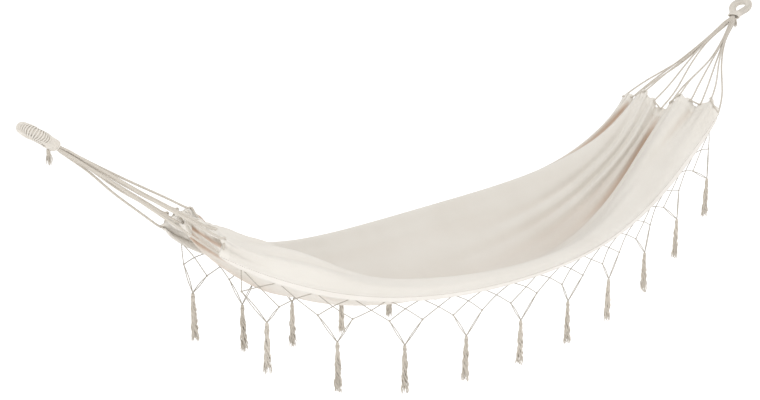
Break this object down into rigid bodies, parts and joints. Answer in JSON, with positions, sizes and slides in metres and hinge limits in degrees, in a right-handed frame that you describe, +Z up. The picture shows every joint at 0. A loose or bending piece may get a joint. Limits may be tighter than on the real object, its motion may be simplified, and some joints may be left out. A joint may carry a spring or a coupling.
{
  "type": "hammock",
  "caption": "Natural cotton cloth hammock with whipped rope eyes, fanned suspension cords, a gathered sling and a knotted fringe with tassels along both sides.",
  "frame": {"origin": "centre of the left eye's round end, where a hook holds it", "axes": "+X from the left eye to the right eye, +Y away from the viewer's side, +Z up"},
  "size_m": [2.6974, 0.5242, 0.8097],
  "materials": {
    "cloth": "plain-woven unbleached cotton canvas, matt",
    "hem": "doubled and stitched canvas edge, matt",
    "net_string": "twisted cotton string, matt",
    "cord": "twisted cotton cord, matt",
    "eye_cord": "tightly wound cotton cord, matt",
    "tassel": "frayed cotton strands, matt"
  },
  "bodies": {
    "eyes": {"left_eye_rope": "eye_cord", "left_eye_whipping": "eye_cord", "left_neck_binding": "eye_cord", "left_tail_tuft": "tassel", "right_eye_rope": "eye_cord", "right_eye_whipping": "eye_cord", "right_neck_binding": "eye_cord", "right_tail_tuft": "tassel"},
    "bed": {"bed_cloth": "cloth", "front_side_hem": "hem", "rear_side_hem": "hem", "left_end_hem": "hem", "right_end_hem": "hem", "front_fringe_net": "net_string", "rear_fringe_net": "net_string", "left_cord_head": "cord", "right_cord_head": "cord", "left_cord_1": "cord", "left_cord_2": "cord", "left_cord_3": "cord", "left_cord_4": "cord", "left_cord_5": "cord", "left_cord_6": "cord", "right_cord_1": "cord", "right_cord_2": "cord", "right_cord_3": "cord", "right_cord_4": "cord", "right_cord_5": "cord", "right_cord_6": "cord"},
    "front_tassel_01": {"front_tassel_01": "tassel"},
    "rear_tassel_01": {"rear_tassel_01": "tassel"},
    "front_tassel_02": {"front_tassel_02": "tassel"},
    "rear_tassel_02": {"rear_tassel_02": "tassel"},
    "front_tassel_03": {"front_tassel_03": "tassel"},
    "rear_tassel_03": {"rear_tassel_03": "tassel"},
    "front_tassel_04": {"front_tassel_04": "tassel"},
    "rear_tassel_04": {"rear_tassel_04": "tassel"},
    "front_tassel_05": {"front_tassel_05": "tassel"},
    "rear_tassel_05": {"rear_tassel_05": "tassel"},
    "front_tassel_06": {"front_tassel_06": "tassel"},
    "rear_tassel_06": {"rear_tassel_06": "tassel"},
    "front_tassel_07": {"front_tassel_07": "tassel"},
    "rear_tassel_07": {"rear_tassel_07": "tassel"},
    "front_tassel_08": {"front_tassel_08": "tassel"},
    "rear_tassel_08": {"rear_tassel_08": "tassel"},
    "front_tassel_09": {"front_tassel_09": "tassel"},
    "rear_tassel_09": {"rear_tassel_09": "tassel"},
    "front_tassel_10": {"front_tassel_10": "tassel"},
    "rear_tassel_10": {"rear_tassel_10": "tassel"}
  },
  "joints": [
    {"name": "bed_swing", "type": "hinge", "parent": "eyes", "child": "bed", "pos_m": [0.04166, 0, -0.03027], "axis": [1, 0, 0], "range_deg": [-40, 40]},
    {"name": "front_tassel_01_swing", "type": "hinge", "parent": "bed", "child": "front_tassel_01", "pos_m": [0.45343, -0.13386, -0.4825], "axis": [1, 0, 0], "range_deg": [-45, 45]},
    {"name": "rear_tassel_01_swing", "type": "hinge", "parent": "bed", "child": "rear_tassel_01", "pos_m": [0.45343, 0.13386, -0.4825], "axis": [1, 0, 0], "range_deg": [-45, 45]},
    {"name": "front_tassel_02_swing", "type": "hinge", "parent": "bed", "child": "front_tassel_02", "pos_m": [0.62923, -0.17159, -0.56912], "axis": [1, 0, 0], "range_deg": [-45, 45]},
    {"name": "rear_tassel_02_swing", "type": "hinge", "parent": "bed", "child": "rear_tassel_02", "pos_m": [0.62923, 0.17159, -0.56912], "axis": [1, 0, 0], "range_deg": [-45, 45]},
    {"name": "front_tassel_03_swing", "type": "hinge", "parent": "bed", "child": "front_tassel_03", "pos_m": [0.81897, -0.2034, -0.62236], "axis": [1, 0, 0], "range_deg": [-45, 45]},
    {"name": "rear_tassel_03_swing", "type": "hinge", "parent": "bed", "child": "rear_tassel_03", "pos_m": [0.81897, 0.2034, -0.62236], "axis": [1, 0, 0], "range_deg": [-45, 45]},
    {"name": "front_tassel_04_swing", "type": "hinge", "parent": "bed", "child": "front_tassel_04", "pos_m": [1.01576, -0.22603, -0.64881], "axis": [1, 0, 0], "range_deg": [-45, 45]},
    {"name": "rear_tassel_04_swing", "type": "hinge", "parent": "bed", "child": "rear_tassel_04", "pos_m": [1.01576, 0.22603, -0.64881], "axis": [1, 0, 0], "range_deg": [-45, 45]},
    {"name": "front_tassel_05_swing", "type": "hinge", "parent": "bed", "child": "front_tassel_05", "pos_m": [1.21503, -0.23794, -0.6592], "axis": [1, 0, 0], "range_deg": [-45, 45]},
    {"name": "rear_tassel_05_swing", "type": "hinge", "parent": "bed", "child": "rear_tassel_05", "pos_m": [1.21503, 0.23794, -0.6592], "axis": [1, 0, 0], "range_deg": [-45, 45]},
    {"name": "front_tassel_06_swing", "type": "hinge", "parent": "bed", "child": "front_tassel_06", "pos_m": [1.41498, -0.23816, -0.65935], "axis": [1, 0, 0], "range_deg": [-45, 45]},
    {"name": "rear_tassel_06_swing", "type": "hinge", "parent": "bed", "child": "rear_tassel_06", "pos_m": [1.41498, 0.23816, -0.65935], "axis": [1, 0, 0], "range_deg": [-45, 45]},
    {"name": "front_tassel_07_swing", "type": "hinge", "parent": "bed", "child": "front_tassel_07", "pos_m": [1.61441, -0.22871, -0.64929], "axis": [1, 0, 0], "range_deg": [-45, 45]},
    {"name": "rear_tassel_07_swing", "type": "hinge", "parent": "bed", "child": "rear_tassel_07", "pos_m": [1.61441, 0.22871, -0.64929], "axis": [1, 0, 0], "range_deg": [-45, 45]},
    {"name": "front_tassel_08_swing", "type": "hinge", "parent": "bed", "child": "front_tassel_08", "pos_m": [1.81168, -0.21346, -0.62126], "axis": [1, 0, 0], "range_deg": [-45, 45]},
    {"name": "rear_tassel_08_swing", "type": "hinge", "parent": "bed", "child": "rear_tassel_08", "pos_m": [1.81168, 0.21346, -0.62126], "axis": [1, 0, 0], "range_deg": [-45, 45]},
    {"name": "front_tassel_09_swing", "type": "hinge", "parent": "bed", "child": "front_tassel_09", "pos_m": [2.00225, -0.19595, -0.56443], "axis": [1, 0, 0], "range_deg": [-45, 45]},
    {"name": "rear_tassel_09_swing", "type": "hinge", "parent": "bed", "child": "rear_tassel_09", "pos_m": [2.00225, 0.19595, -0.56443], "axis": [1, 0, 0], "range_deg": [-45, 45]},
    {"name": "front_tassel_10_swing", "type": "hinge", "parent": "bed", "child": "front_tassel_10", "pos_m": [2.17982, -0.18328, -0.47427], "axis": [1, 0, 0], "range_deg": [-45, 45]},
    {"name": "rear_tassel_10_swing", "type": "hinge", "parent": "bed", "child": "rear_tassel_10", "pos_m": [2.17982, 0.18328, -0.47427], "axis": [1, 0, 0], "range_deg": [-45, 45]}
  ]
}
